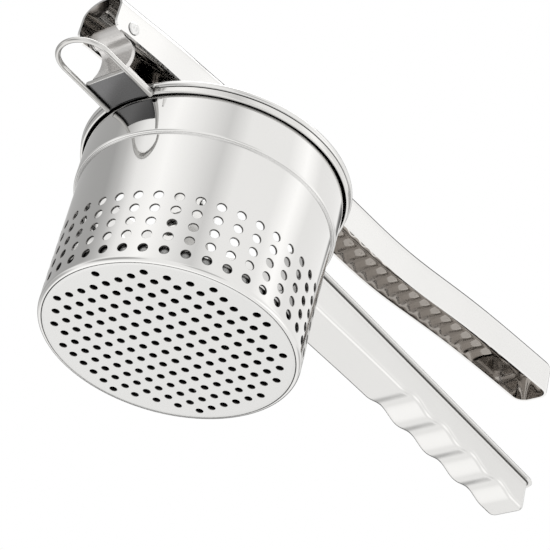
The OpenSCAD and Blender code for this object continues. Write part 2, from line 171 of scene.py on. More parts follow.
class Patchwork:
    """Collects faces, each with its own corner normals, into one mesh."""

    def __init__(self):
        self.verts, self.faces, self.normals, self.slots = [], [], [], []
        self.slot = 0

    def face(self, points, normals):
        first = len(self.verts)
        self.verts += [tuple(p) for p in points]
        self.faces.append(tuple(range(first, first + len(points))))
        self.normals.append([tuple(Vector(n).normalized()) for n in normals])
        self.slots.append(self.slot)

    def mesh(self, name):
        mesh = bpy.data.meshes.new(name)
        # join points that meet, and keep each corner's own normal
        index, unique, remap = {}, [], []
        for v in self.verts:
            near = [(round(c * 1e6 - 0.02), round(c * 1e6 + 0.02)) for c in v]
            cells = [(x, y, z) for x in near[0] for y in near[1] for z in near[2]]
            found = next((index[c] for c in cells if c in index), None)
            if found is None:
                found = len(unique)
                unique.append(v)
                index[cells[0]] = found
            remap.append(found)
        faces, normals, slots = [], [], []
        for f, ns, slot in zip(self.faces, self.normals, self.slots):
            g = [remap[i] for i in f]
            if len(set(g)) < len(g):
                ns = [n for i, n in enumerate(ns) if g.index(g[i]) == i]
                g = [v for i, v in enumerate(g) if g.index(v) == i]
            if len(g) < 3:
                continue
            a, b, c = (Vector(unique[i]) for i in g[:3])
            if (b - a).cross(c - a).dot(Vector(ns[0])) < 0:
                g, ns = g[::-1], ns[::-1]
            faces.append(g)
            normals += ns
            slots.append(slot)
        mesh.from_pydata(unique, [], faces)
        mesh.shade_smooth()
        # an edge is sharp where its two faces disagree about a corner's normal
        corners, sides = iter(normals), {}
        for f in faces:
            own = [next(corners) for _ in f]
            for i, a in enumerate(f):
                k = (i + 1) % len(f)
                low, high = (i, k) if a < f[k] else (k, i)
                sides.setdefault((f[low], f[high]), []).append(Vector(own[low] + own[high]))
        for edge in mesh.edges:
            pair = sides[tuple(sorted(edge.vertices))]
            edge.use_edge_sharp = len(pair) == 2 and (pair[0] - pair[1]).length > 0.01
        mesh.normals_split_custom_set(normals)
        mesh.polygons.foreach_set("material_index", slots)
        return mesh

    def turned(self, profile, normals, segments):
        """Adds a profile of (radius, height) turned about Z. normals has two for each span, one at each
        end, as (radial, axial)."""
        for s in range(segments):
            a, b = TAU * s / segments, TAU * (s + 1) / segments
            for (p, q), (n0, n1) in zip(zip(profile, profile[1:]), normals):
                pts = [(p[0], p[1], a), (p[0], p[1], b), (q[0], q[1], b), (q[0], q[1], a)]
                nrm = [(n0, a), (n0, b), (n1, b), (n1, a)]
                self.face([(r * math.cos(t), r * math.sin(t), z) for r, z, t in pts],
                          [(n[0] * math.cos(t), n[0] * math.sin(t), n[1]) for n, t in nrm])

    def holes(self, holes, place, direction, hole_r, bevel, depth, segments):
        """Adds the walls of round holes in a sheet, with a small bevel at each mouth."""
        levels = [(hole_r + bevel, 0), (hole_r, bevel), (hole_r, depth - bevel), (hole_r + bevel, depth)]
        # the hole walls go to slot 1, whose material is their painted shade
        self.slot = 1
        for hole in holes:
            for k in range(segments):
                a, b = TAU * k / segments, TAU * (k + 1) / segments
                for i, ((r0, d0), (r1, d1)) in enumerate(zip(levels, levels[1:])):
                    pts, nrm = [], []
                    for r, d, t in ((r0, d0, a), (r0, d0, b), (r1, d1, b), (r1, d1, a)):
                        pts.append(place(hole[0] + r * math.cos(t), hole[1] + r * math.sin(t), d))
                        tilt = (1, 0, -1)[i] * (0.75 if d in (0, depth) else 0.35)
                        nrm.append(direction(hole[0], hole[1], -math.cos(t), -math.sin(t), tilt))
                    self.face(pts, nrm)
        self.slot = 0


def profile_normals(profile, corners=()):
    """Outward normals along a profile of (radius, height) that runs with the solid on its left.
    Points listed in corners stay sharp."""
    spans = []
    for p, q in zip(profile, profile[1:]):
        d = Vector((q[0] - p[0], q[1] - p[1])).normalized()
        spans.append(Vector((d.y, -d.x)))
    out = []
    for i, n in enumerate(spans):
        before = spans[i - 1] if i > 0 else n
        after = spans[i + 1] if i + 1 < len(spans) else n
        n0 = n if i in corners else (n + before).normalized()
        n1 = n if i + 1 in corners else (n + after).normalized()
        out.append((n0, n1))
    return out


# ---------------------------------------------------------------- materials

def new_material(name):
    material = bpy.data.materials.new(name)
    material.use_nodes = True
    tree = material.node_tree
    shader = tree.nodes["Principled BSDF"]
    return material, tree, shader


def link(tree, a, b):
    tree.links.new(a, b)


def node(tree, kind, **values):
    """A new node. Each value is one of its settings or else an input, named with _ for a space."""
    n = tree.nodes.new(kind)
    for key, value in values.items():
        if hasattr(n, key):
            setattr(n, key, value)
        else:
            n.inputs[key.replace("_", " ")].default_value = value
    return n


def feed(tree, value, socket):
    """Links another node's output to a socket, or sets the socket to a constant."""
    if isinstance(value, bpy.types.NodeSocket):
        link(tree, value, socket)
    else:
        socket.default_value = value


def noise(tree, vector, scale, detail):
    texture = node(tree, "ShaderNodeTexNoise", Scale=scale, Detail=detail)
    link(tree, vector, texture.inputs["Vector"])
    return texture.outputs["Fac"]


def ranged(tree, value, **ends):
    """A value mapped from one range to another."""
    step = node(tree, "ShaderNodeMapRange", **ends)
    link(tree, value, step.inputs["Value"])
    return step.outputs["Result"]


def joined(tree, operation, *values):
    """The result of a Math node."""
    both = node(tree, "ShaderNodeMath", operation=operation)
    for value, socket in zip(values, both.inputs):
        feed(tree, value, socket)
    return both.outputs["Value"]


def colour_mix(tree, factor, a, b, blend_type="MIX"):
    """The colour that a Mix node gives."""
    mix = node(tree, "ShaderNodeMix", data_type="RGBA", blend_type=blend_type)
    ports = {i.identifier: i for i in mix.inputs}
    for key, value in (("Factor_Float", factor), ("A_Color", a), ("B_Color", b)):
        feed(tree, value, ports[key])
    return next(o for o in mix.outputs if o.identifier == "Result_Color")


def shader_mix(tree, factor, a, b, target):
    """Mixes two shaders into an output's surface."""
    mix = node(tree, "ShaderNodeMixShader")
    for value, socket in zip((factor, a, b), mix.inputs):
        link(tree, value, socket)
    link(tree, mix.outputs["Shader"], target.inputs["Surface"])


def steel(name, tone, rough, spread=0.02, grain=(1, 1, 1), scale=900, bump=0.02, smear=0.02, crevice=1.6,
          edge=0.0):
    """Stainless steel: a tone, a roughness with a fine directional grain, smears, and painted shade in
    crevices.
    grain stretches the fine noise and scale sizes it. crevice and edge are in mm: how far the painted shade,
    an ambient occlusion darkening of the colour, reaches from where two sheets meet, and how far an edge is
    rounded in the shading."""
    material, tree, shader = new_material(name)
    shader.inputs["Metallic"].default_value = 1
    place = node(tree, "ShaderNodeTexCoord").outputs["Object"]
    stretch = node(tree, "ShaderNodeMapping", Scale=grain)
    link(tree, place, stretch.inputs["Vector"])
    fine = noise(tree, stretch.outputs["Vector"], scale, 4)
    broad = noise(tree, place, 60, 3)

    # roughness: grain and smears
    grainy = ranged(tree, fine, To_Min=max(0.01, rough - spread), To_Max=rough + spread)
    smeared = ranged(tree, broad, From_Min=0.35, From_Max=0.75, To_Max=smear)
    link(tree, joined(tree, "ADD", grainy, smeared), shader.inputs["Roughness"])

    # tone: faint clouding, and painted shade where two sheets meet, from ambient occlusion darkening the
    # colour
    shade = ranged(tree, broad, To_Min=0.97, To_Max=1.0)
    if crevice:
        corner = node(tree, "ShaderNodeAmbientOcclusion", samples=6, Distance=crevice * MM)
        shade = joined(tree, "MULTIPLY", shade, joined(tree, "POWER", corner.outputs["AO"], 3.0))
    link(tree, colour_mix(tree, 1, (*tone, 1), shade, "MULTIPLY"), shader.inputs["Base Color"])

    # relief: the grain, over edges that are broken by a small radius
    relief = node(tree, "ShaderNodeBump", Strength=bump, Distance=0.1 * MM)
    link(tree, fine, relief.inputs["Height"])
    if edge:
        rounded = node(tree, "ShaderNodeBevel", samples=6, Radius=edge * MM)
        link(tree, rounded.outputs["Normal"], relief.inputs["Normal"])
    link(tree, relief.outputs["Normal"], shader.inputs["Normal"])
    return material


# How much light the polished steel gives back. The studio is brighter by its inverse, so that the steel shows
# the levels of the cards.
STEEL = 0.62

# crevice below is the reach in mm of each steel's painted shade in its corners
POLISHED = steel("polished_steel", (0.62, 0.617, 0.61), 0.035, 0.012, grain=(1, 1, 0.05), bump=0.006,
                 crevice=0.7)
BASE = steel("base_steel", (0.57, 0.57, 0.565), 0.24, 0.05, grain=(0.05, 1, 1), bump=0.03, crevice=1.2)
FRAME = steel("frame_steel", (0.60, 0.595, 0.585), 0.12, grain=(0.1, 1, 1), edge=0.3, crevice=0.6)
BRACKET = steel("bracket_steel", (0.57, 0.56, 0.55), 0.34, 0.05, grain=(1, 0.08, 1), bump=0.03, crevice=0.8)
# painted shade: dark grey, for the underside of the ring's tongue
UNDER_TONGUE_SHADE = steel("tongue_underside_painted_shade", (0.135, 0.135, 0.138), 0.20, 0.06, grain=(0.1, 1, 1), scale=1400, bump=0.04)
WIRE = steel("wire_steel", (0.50, 0.495, 0.485), 0.06, bump=0.01, crevice=0.8)
RIVET = steel("rivet_steel", (0.62, 0.62, 0.615), 0.12, bump=0.03, crevice=0.6)
HANDLE = steel("handle_steel", (0.67, 0.667, 0.66), 0.09, 0.02, grain=(0.04, 1, 1), bump=0.008, crevice=0)
GRIP = steel("grip_steel", (0.59, 0.587, 0.58), 0.19, 0.03, grain=(0.04, 1, 1), bump=0.008, crevice=0.8)
# painted shade: the discs' tone is set darker, for their edges seen in the shade behind the lowest holes
DISC = steel("disc_steel", (0.53, 0.53, 0.525), 0.22, 0.05, bump=0.06, crevice=2.0, edge=0.25)
# painted shade: the walls of the holes are coloured dark for the shade inside them
HOLE_WALL_SHADE = steel("hole_wall_painted_shade", (0.22, 0.215, 0.21), 0.30, 0.06, grain=(1, 1, 0.1), bump=0.04, crevice=0)
# painted shade: nearly black, for the fold under the lower handle's flange
FOLD_SHADE = steel("fold_painted_shade", (0.06, 0.058, 0.055), 0.30, 0.05, grain=(0.04, 1, 1), bump=0.02, crevice=0)
# painted shade: a darker, browner copy of the handle steel for the inside of the upper handle's channel
CHANNEL_SHADE = steel("channel_painted_shade", (0.52, 0.50, 0.48), 0.055, grain=(0.04, 1, 1), bump=0.0, crevice=0)


# ---------------------------------------------------------------- basket

COLUMN = TAU / SIDE_COLUMNS             # turn from one column of holes to the next
COLUMN_STEPS = 4
WALL_SEGMENTS = SIDE_COLUMNS * COLUMN_STEPS
PERF_TOP = ROW_Z + (SIDE_ROWS - 1) * ROW_PITCH + 4 * MM   # top of the perforated stretch
PERF_LOW = EDGE_R
PERF_STEPS = 12
HOLE_SEGMENTS = 24
HOLE_BEVEL = 0.12 * MM


def build_basket_wall():
    """The perforated wall with its foot, step, upper band and rolled rim."""
    work = Patchwork()
    half = COLUMN * WALL_R / 2
    rows = [ROW_Z + i * ROW_PITCH for i in range(SIDE_ROWS)]
    levels = [PERF_LOW + (PERF_TOP - PERF_LOW) * i / PERF_STEPS for i in range(PERF_STEPS + 1)]
    across = [-half + 2 * half * i / COLUMN_STEPS for i in range(COLUMN_STEPS + 1)]
    boundary = [(x, levels[0]) for x in across]
    boundary += [(half, z) for z in levels[1:]]
    boundary += [(x, levels[-1]) for x in reversed(across[:-1])]
    boundary += [(-half, z) for z in reversed(levels[1:-1])]
    holes = [(0, z) for z in rows]
    extra = [(x, z) for x in across[1:-1] for z in levels[1:-1]]
    points, triangles = sheet_with_holes(boundary, holes, extra, SIDE_HOLE, HOLE_BEVEL, HOLE_SEGMENTS)

    for column in range(SIDE_COLUMNS):
        turn = column * COLUMN

        def place(u, z, depth):
            a = turn + u / WALL_R
            return ((WALL_R - depth) * math.cos(a), (WALL_R - depth) * math.sin(a), z)

        def direction(u, z, across_n, up_n, out_n):
            a = turn + u / WALL_R
            x = out_n * math.cos(a) - across_n * math.sin(a)
            y = out_n * math.sin(a) + across_n * math.cos(a)
            return Vector((x, y, up_n)).normalized()

        for t in triangles:
            for depth, sign in ((0, 1), (SHEET, -1)):
                pts = [place(points[i].x, points[i].y, depth) for i in t]
                nrm = [direction(points[i].x, 0, 0, 0, sign) for i in t]
                work.face(pts, nrm)
        work.holes(holes, place, direction, SIDE_HOLE, HOLE_BEVEL, SHEET, HOLE_SEGMENTS)

    # the plain wall, the step and the band, outside and then inside, running round the rolled rim
    fillet = 0.7 * MM
    band_in = BAND_R - SHEET
    outer = [(WALL_R, PERF_TOP), (WALL_R, STEP_Z - fillet)]
    outer += arc(WALL_R + fillet, STEP_Z - fillet, fillet, 162, 90, 4)
    outer += arc(BAND_R - fillet, STEP_Z + fillet, fillet, -90, 0, 6)
    outer += [(BAND_R, RIM_TOP - 2 * RIM_R)]
    joint = math.degrees(math.acos((BAND_R - RIM_MID) / RIM_R))
    outer += arc(RIM_MID, RIM_TOP - RIM_R, RIM_R, -joint, 90, 16)
    roll_in = arc(RIM_MID, RIM_TOP - RIM_R, RIM_R, 90, 150, 6)
    inner = roll_in + [(band_in, RIM_TOP - 1.6 * RIM_R)]
    inner += [(band_in, STEP_Z + SHEET + 0.3 * MM), (band_in - 0.3 * MM, STEP_Z + SHEET),
              (BORE_R + 0.5 * MM, STEP_Z + SHEET), (BORE_R, STEP_Z + SHEET - 0.6 * MM), (BORE_R, PERF_TOP)]
    profile = outer + inner[1:]
    work.turned(profile, profile_normals(profile), WALL_SEGMENTS)

    # the foot: a rounded edge, turned in under the base plate
    foot = [(PLATE_R, SHEET), (PLATE_R, 0.15 * MM), (PLATE_R + 0.15 * MM, 0)]
    foot += arc(WALL_R - EDGE_R, EDGE_R, EDGE_R, -84, 0, 14)
    work.turned(foot, profile_normals(foot, corners=(1, 2)), WALL_SEGMENTS)
    seat = [(BORE_R, EDGE_R), (BORE_R, SHEET), (PLATE_R, SHEET)]
    work.turned(seat, profile_normals(seat, corners=(1,)), WALL_SEGMENTS)
    mesh = work.mesh("wall")
    add_piece("basket_shell", mesh, "frame", POLISHED, ["basket_wall"])
    # slot 1, the hole walls, is coloured dark as painted shade
    mesh.materials.append(HOLE_WALL_SHADE)


def build_basket_base():
    """The perforated base plate, with its joggled edge."""
    work = Patchwork()
    rim_r = PLATE_R - 0.12 * MM
    inner_r = PLATE_R - 1.6 * MM
    count = math.ceil(BASE_REACH / BASE_PITCH)
    holes = []
    for i in range(-count, count + 1):
        for j in range(-count, count + 1):
            x, y = i * BASE_PITCH + BASE_SHIFT.x, j * BASE_PITCH + BASE_SHIFT.y
            if math.hypot(x, y) < BASE_REACH:
                holes.append((x, y))
    boundary = arc(0, 0, inner_r, 0, 360, BASE_SEGMENTS)[:-1]
    # more points between the holes, and a ring of them inside the edge
    between = [(x + BASE_PITCH * i, y + BASE_PITCH * j)
               for x, y in holes for i in (-0.5, 0.5) for j in (-0.5, 0.5)]
    between += arc(0, 0, inner_r - 1.1 * MM, 0, 360, 120)[:-1]
    spare = {(round(x * 1e6), round(y * 1e6)) for x, y in between if math.hypot(x, y) < inner_r - 1.0 * MM}
    spare = [(x / 1e6, y / 1e6) for x, y in sorted(spare)]
    points, triangles = sheet_with_holes(boundary, holes, spare, BASE_HOLE, HOLE_BEVEL, HOLE_SEGMENTS)

    def place(x, y, depth):
        return (x, y, depth)

    def direction(x, y, nx, ny, out):
        return Vector((nx, ny, -out)).normalized()

    for t in triangles:
        for depth, sign in ((0, -1), (SHEET, 1)):
            work.face([place(points[i].x, points[i].y, depth) for i in t], [(0, 0, sign)] * 3)
    work.holes(holes, place, direction, BASE_HOLE, HOLE_BEVEL, SHEET, HOLE_SEGMENTS)
    edge = [(inner_r, 0), (rim_r - 0.25 * MM, 0), (rim_r - 0.07 * MM, 0.07 * MM), (rim_r, 0.25 * MM)]
    edge += [(rim_r, SHEET)]
    edge += [(BORE_R, SHEET), (BORE_R, 2 * SHEET), (inner_r, 2 * SHEET), (inner_r, SHEET)]
    work.turned(edge, profile_normals(edge, corners=(4, 5, 6, 7)), BASE_SEGMENTS)
    mesh = work.mesh("base")
    add_piece("base_plate", mesh, "frame", BASE, ["basket_base"])
    # slot 1, the hole walls, is coloured dark as painted shade
    mesh.materials.append(HOLE_WALL_SHADE)


# ---------------------------------------------------------------- handles: sheet pans

def pan(outline, outer, inner, fill_rows, crown=None, root=None):
    """A pressed sheet channel, open at its root and closed at its tip.
    outline(inset) gives the plan's points inside the edge, from the root round the tip and back. An inset
    is a distance, or a function of x. outer and inner are lists of (inset, height(x)) from the free edge
    to the flat, and the flat is filled across in fill_rows strips. crown(x, y) lifts a point, and
    root(x, z) moves its x at the root."""
    verts, faces = [], []
    crown = crown or (lambda x, y: 0)
    root = root or (lambda x, z: x)

    def put(x, y, height):
        z = height(x)
        verts.append((root(x, z), y, z + crown(x, y)))

    def skin(levels):
        first = len(verts)
        n = len(outline(levels[0][0]))
        for inset, height in levels:
            for x, y in outline(inset):
                put(x, y, height)
        for k in range(len(levels) - 1):
            for i in range(n - 1):
                a = first + k * n + i
                faces.append((a, a + 1, a + n + 1, a + n))
        # the flat, from one side across to the other
        last = outline(levels[-1][0])
        height = levels[-1][1]
        half = (n - fill_rows + 1) // 2
        ring = first + (len(levels) - 1) * n
        grid = [[ring + i for i in range(half)]]
        for row in range(1, fill_rows):
            f = row / fill_rows
            line = []
            for i in range(half - 1):
                (x0, y0), (x1, y1) = last[i], last[n - 1 - i]
                line.append(len(verts))
                put(x0 + (x1 - x0) * f, y0 + (y1 - y0) * f, height)
            grid.append(line + [ring + half + row - 1])
        grid.append([ring + n - 1 - i for i in range(half)])
        for r0, r1 in zip(grid, grid[1:]):
            for i in range(half - 1):
                faces.append((r0[i], r0[i + 1], r1[i + 1], r1[i]))
        edge = [first + i for i in range(n)]
        end = [first + k * n for k in range(len(levels))]
        end += [line[0] for line in grid[1:-1]]
        end += [first + k * n + n - 1 for k in reversed(range(len(levels)))]
        return edge, end

    edge_out, end_out = skin(outer)
    edge_in, end_in = skin(inner)
    for a, b in ((edge_out, edge_in), (end_out, end_in)):
        for i in range(len(a) - 1):
            faces.append((a[i], a[i + 1], b[i + 1], b[i]))
    return verts, faces


def plan_outline(xs, half, end, corner, fill_rows, arc_steps=8):
    """The plan of a handle: sides through xs, and a tip with round corners and fill_rows straight steps."""
    def outline(inset):
        depth = inset if callable(inset) else (lambda x: inset)
        d = depth(end)
        r = max(corner - d, 0.15 * MM)
        cx = end - corner if corner > d else end - d - r
        pts = [(min(x, cx), -(half(x) - depth(x))) for x in xs]
        cy = half(end) - corner if corner > d else half(end) - d - r
        tip = arc(cx, -cy, r, -90, 0, arc_steps)
        pts += tip[1:] + [(tip[-1][0], -cy * 0.5)]
        middle = [(tip[-1][0], cy * (k / fill_rows - 0.5)) for k in range(1, fill_rows)]
        return pts + middle + [(x, -y) for x, y in reversed(pts)]
    return outline


UPPER_START, UPPER_END = upper_lo.x, upper_hi.x
UPPER_DEPTH = 15.5 * MM                 # from the spine down to the skirts' edges
HINGE_HALF, GRIP_HALF = upper_hi.y, 8 * MM
TAPER_START, TAPER_END = PIN.x + 12 * MM, -20 * MM
NOSE_R = 5.5 * MM
SPINE_RISE = 11.8 * MM                  # from the hinge pin up to the spine
HOLLOW_X, HOLLOW_LEN, HOLLOW_DEPTH = WALL_R + 53 * MM, 38 * MM, 3.2 * MM
UPPER_SLOPE = 0.112
RIBS = 15
RIB_START, RIB_END = WALL_R + 34 * MM, UPPER_END - 22 * MM


def spine(x):
    """Height of the upper handle's spine at x."""
    hollow = HOLLOW_DEPTH * math.exp(-(((x - HOLLOW_X) / HOLLOW_LEN) ** 2))
    return PIN.z + SPINE_RISE + UPPER_SLOPE * (x - PIN.x) - hollow


def upper_half(x):
    """Half the upper handle's width at x."""
    f = min(1, max(0, (x - TAPER_START) / (TAPER_END - TAPER_START)))
    f = f * f * (3 - 2 * f)
    return HINGE_HALF + (GRIP_HALF - HINGE_HALF) * f


EAR_R = 3 * MM                          # round lower corner at the hinge end
ARCH_END = hanger_lo.x


def arch(x):
    """How far the upper handle's section is an arch: 1 at the hinge, 0 from the hanger on."""
    f = min(1, max(0, (x - UPPER_START) / (ARCH_END - UPPER_START)))
    return 1 - f * f * (3 - 2 * f)


def build_upper_handle():
    """The upper handle: an inverted channel, arched at the hinge, with grip ribs and a closed nose."""
    fine = 0.5 * MM
    xs = []
    x = UPPER_START
    while x < UPPER_END - NOSE_R:
        xs.append(x)
        ribbed = RIB_START - 4 * MM < x < RIB_END + 4 * MM
        x += fine if ribbed or x < UPPER_START + 2 * EAR_R else 2.5 * MM
    xs.append(UPPER_END - NOSE_R)
    outline = plan_outline(xs, upper_half, UPPER_END, NOSE_R, 8)
    corner = 4.6 * MM

    def side(x):
        """How far the bend reaches in from the side."""
        return corner + (upper_half(x) - 0.3 * MM - corner) * arch(x)

    def rise(x):
        """How far the bend reaches down from the spine."""
        return corner + 1.6 * MM * arch(x)

    def levels(gauge):
        """From the skirt's edge up to the spine; gauge is 0 outside and the sheet inside."""
        out = [(gauge, lambda x, h=h: spine(x) - UPPER_DEPTH + h * MM)
               for h in (0.0, 0.4, 1.2, 2.2, 3.2, 5.0)]
        out += [(gauge, lambda x: spine(x) - rise(x) - 1.5 * MM)]
        for k in range(0, 11):
            a = math.radians(90 * k / 10)
            c, s = 1 - math.cos(a), 1 - math.sin(a)
            out.append((lambda x, c=c: gauge + (side(x) - gauge) * c,
                        lambda x, s=s: spine(x) - gauge - (rise(x) - gauge) * s))
        return out

    pitch = (RIB_END - RIB_START) / (RIBS - 1)

    def crown(x, y):
        """The grip ribs, pressed down into the channel and swept back at their ends."""
        if not RIB_START - pitch / 2 < x < RIB_END + pitch / 2:
            return 0
        swept = x - 1.6 * MM * (y / (6 * MM)) ** 2
        along = (0.5 + 0.5 * math.cos(TAU * (swept - RIB_START) / pitch)) ** 1.5
        across = max(0, 1 - (abs(y) / (6.4 * MM)) ** 4)
        return -1.3 * MM * along * across

    def ear(x, z):
        """Rounds the lower corner of the hinge end."""
        up = z - (spine(x) - UPPER_DEPTH)
        if up >= EAR_R:
            return x
        cut_back = EAR_R - math.sqrt(max(0, EAR_R ** 2 - (EAR_R - up) ** 2))
        f = min(1, (x - UPPER_START) / (2 * EAR_R))
        return x + cut_back * (1 - f)

    verts, faces = pan(outline, levels(0), levels(HANDLE_T), 8, crown, ear)
    mesh = mesh_of("upper_channel", verts, faces, sharp=50)
    obj = add_piece("upper_lever", mesh, "lever", HANDLE, ["upper_handle"])
    # painted shade: the faces that look into the channel take the darker copy of the steel
    mesh.materials.append(CHANNEL_SHADE)
    for p in mesh.polygons:
        if in_channel(p):
            p.material_index = 1
    weighted(obj)


def in_channel(polygon):
    """True for a face of the upper handle that looks into its channel."""
    c, n = polygon.center, polygon.normal
    if abs(c.y) >= upper_half(c.x) - 0.3 * MM or c.z >= spine(c.x) - 0.4 * MM:
        return False
    if n.z < -0.5:
        return c.z > spine(c.x) - UPPER_DEPTH + 1 * MM
    return n.y * c.y < 0 or (n.x < -0.5 and c.x > 0)


LOWER_START, FLANGE_END = lower_lo.x, lower_hi.x
LOWER_END = WALL_R + 154 * MM
FLANGE_TOP = lower_hi.z
FLANGE_W = 2.1 * MM
LOWER_HALF, LOWER_HALF_TIP = lower_hi.y - FLANGE_W, 7.9 * MM
LOWER_TAPER = LOWER_START + 26 * MM
HEEL = 9.5 * MM
PITCH = 19.9 * MM
WAVE_H = 1.9 * MM
GRIP_STOP = LOWER_END - HEEL
GRIP_START = GRIP_STOP - 4 * PITCH
LOWER_DEPTH, ROOT_DEPTH = 12.6 * MM, 14.6 * MM


def under(x):
    """Height of the lower handle's underside at x."""
    blend = min(1, max(0, (x - LOWER_START) / (GRIP_START - LOWER_START)))
    ease = blend * blend * (3 - 2 * blend)
    depth = ROOT_DEPTH + (LOWER_DEPTH - ROOT_DEPTH) * ease
    wave = 0
    if GRIP_START < x < GRIP_STOP:
        wave = (1 - math.cos(TAU * (x - GRIP_START) / PITCH)) / 2
    return FLANGE_TOP - depth - WAVE_H / 2 * ease + WAVE_H * wave


def flange_half(x):
    """Half the width over the lower handle's flange at x."""
    f = min(1, max(0, (x - LOWER_TAPER) / (LOWER_END - LOWER_TAPER)))
    return FLANGE_W + LOWER_HALF + (LOWER_HALF_TIP - LOWER_HALF) * f


def build_lower_handle():
    """The lower handle: a channel with a flange round its mouth and finger hollows in its underside."""
    corner = 5.0 * MM
    xs = [LOWER_START + (FLANGE_END - corner - LOWER_START) * i / 220 for i in range(221)]
    outline = plan_outline(xs, flange_half, FLANGE_END, corner, 6)
    t, top, fold, bend = HANDLE_T, FLANGE_TOP, 0.6 * MM, 2.0 * MM
    lip = 0.3 * MM

    def levels(gauge):
        """From the flange's edge down to the underside; gauge is 0 outside and the sheet inside."""
        flange = top - t + gauge
        out = [(0.0, lambda x: top - t / 2), (0.1 * MM, lambda x: flange - (lip if gauge else -lip)),
               (lip, lambda x: flange)]
        # the fold under the flange reaches in by its own radius and down by the bend's
        fold_r, bend_r = fold + gauge, bend - gauge
        for k in range(0, 5):
            a = math.radians(90 * k / 4)
            out.append((FLANGE_W + gauge - fold_r + fold_r * math.sin(a),
                        lambda x, c=math.cos(a): flange - bend_r + bend_r * c))
        wall = FLANGE_W + gauge
        out += [(wall, lambda x: top - t - 2.0 * MM), (wall, lambda x: under(x) + bend + 0.6 * MM)]
        for k in range(0, 9):
            a = math.radians(90 * k / 8)
            out.append((wall + bend_r * (1 - math.cos(a)),
                        lambda x, s=math.sin(a): under(x) + gauge + bend_r * (1 - s)))
        out.append((FLANGE_W + bend + 1.2 * MM, lambda x: under(x) + gauge))
        return out

    verts, faces = pan(outline, levels(0), levels(t), 6)
    mesh = mesh_of("lower_channel", verts, faces, sharp=50)
    obj = add_piece("lower_lever", mesh, "frame", GRIP, ["lower_handle"])
    # painted shade: the faces of the fold under the flange are coloured nearly black for the shade and dark
    # reflection there
    mesh.materials.append(FOLD_SHADE)
    for p in mesh.polygons:
        below = top - t - p.center.z
        if -0.02 * MM < below < 0.9 * MM and 0.1 < abs(p.normal.z) < 0.99 and p.normal.z < 0:
            p.material_index = 1
    weighted(obj)


# ---------------------------------------------------------------- frame, hinge and rivets

def prism(outline, y0, y1, bevel, holes=()):
    """A sheet with the given outline in the XZ plane, from y0 to y1, with broken edges, as a bmesh."""
    points, edges = [], []
    for loop in (outline, *holes):
        first, n = len(points), len(loop)
        points += [Vector(p) for p in loop]
        edges += [(first + i, first + (i + 1) % n) for i in range(n)]
    got = geometry.delaunay_2d_cdt(points, edges, [], 2, 1e-8)
    bm = bmesh.new()
    caps = [[bm.verts.new((v.x, y, v.y)) for v in got[0]] for y in (y0, y1)]
    for cap in caps:
        for f in got[2]:
            bm.faces.new([cap[i] for i in f])
    bm.verts.index_update()
    n = len(caps[0])
    for edge in [e for e in bm.edges if e.is_boundary and e.verts[0].index < n]:
        a, b = (v.index for v in edge.verts)
        bm.faces.new((caps[0][a], caps[0][b], caps[1][b], caps[1][a]))
    bmesh.ops.recalc_face_normals(bm, faces=bm.faces)
    edges = [e for e in bm.edges if e.calc_face_angle(0) > math.radians(40)]
    bmesh.ops.bevel(bm, geom=edges, offset=bevel, segments=3, profile=0.5, affect="EDGES")
    return bm


def merged(name, parts, sharp=45):
    """One mesh from several bmeshes."""
    mesh = bpy.data.meshes.new(name)
    whole = bmesh.new()
    for bm in parts:
        part = bpy.data.meshes.new("part")
        bm.to_mesh(part)
        bm.free()
        whole.from_mesh(part)
        bpy.data.meshes.remove(part)
    whole.to_mesh(mesh)
    whole.free()
    mesh.shade_smooth()
    mesh.set_sharp_from_angle(angle=math.radians(sharp))
    return mesh


def turned_bmesh(profile, segments=160, closed=True):
    """A profile of (radius, height) turned about Z, as a bmesh."""
    verts, faces = lathe(profile, segments, closed)
    bm = bmesh.new()
    made = [bm.verts.new(v) for v in verts]
    for f in faces:
        bm.faces.new([made[i] for i in f])
    bmesh.ops.remove_doubles(bm, verts=bm.verts, dist=JOIN)
    bmesh.ops.recalc_face_normals(bm, faces=bm.faces)
    return bm


RING_IN, RING_OUT = BAND_R + 0.2 * MM, ring_hi.x
RING_LOW, RING_HIGH = ring_lo.z, ring_hi.z
TONGUE_HALF, TONGUE_T = 9.7 * MM, 2 * MM
TONGUE_END = ring_lo.x


def build_frame_ring():
    """The flat ring under the rim, with the tongue that carries the hinge."""
    b = 0.45 * MM
    profile = arc(RING_OUT - b, RING_LOW + b, b, -90, 0, 4)
    profile += arc(RING_OUT - b, RING_HIGH - b, b, 0, 90, 4)
    profile += [(RING_IN, RING_HIGH), (RING_IN, RING_LOW + 0.9 * MM), (RING_IN + 0.6 * MM, RING_LOW)]
    hoop = turned_bmesh(profile)
    low, high = RING_LOW, RING_LOW + TONGUE_T
    root = -math.sqrt((RING_OUT - 0.3 * MM) ** 2 - TONGUE_HALF ** 2)
    tongue = prism([(TONGUE_END, low), (root, low), (root, high), (TONGUE_END, high)],
                   -TONGUE_HALF, TONGUE_HALF, 0.4 * MM)
    mesh = merged("hoop", [hoop, tongue])
    obj = add_piece("rim_hoop", mesh, "frame", FRAME, ["frame_ring"])
    # painted shade: the tongue's underside is coloured dark grey
    mesh.materials.append(UNDER_TONGUE_SHADE)
    for p in mesh.polygons:
        if p.normal.z < -0.9 and p.center.x < root + 0.5 * MM and abs(p.center.y) < TONGUE_HALF - 0.3 * MM:
            p.material_index = 1
    weighted(obj)


